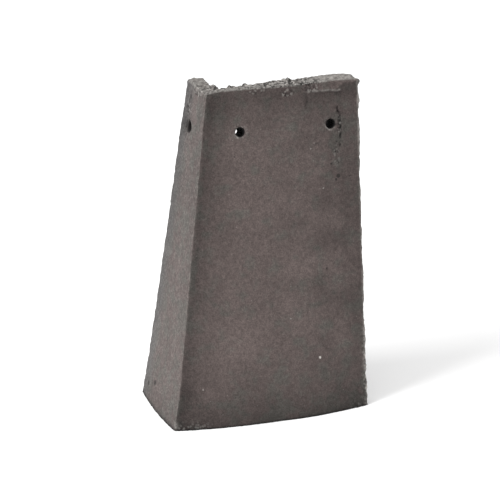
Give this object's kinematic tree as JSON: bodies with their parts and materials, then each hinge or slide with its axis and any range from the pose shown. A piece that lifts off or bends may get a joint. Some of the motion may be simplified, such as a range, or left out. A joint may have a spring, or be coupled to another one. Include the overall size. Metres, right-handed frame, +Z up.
{
  "type": "external angle tile",
  "caption": "Concrete hanging tile for an external corner: two plain legs at a right angle, leaning in to a narrower head, with nail holes near the head.",
  "frame": {"origin": "centre of the tail's box, on the level floor that the tail stands on", "axes": "+Z up from the tail to the head; the long leg's outer face looks along -Y, and the short leg's along -X"},
  "size_m": [0.1682, 0.093, 0.2622],
  "materials": {
    "concrete": "matt cast concrete, dark brownish grey"
  },
  "bodies": {
    "root": {"angle_tile": "concrete"}
  },
  "joints": []
}
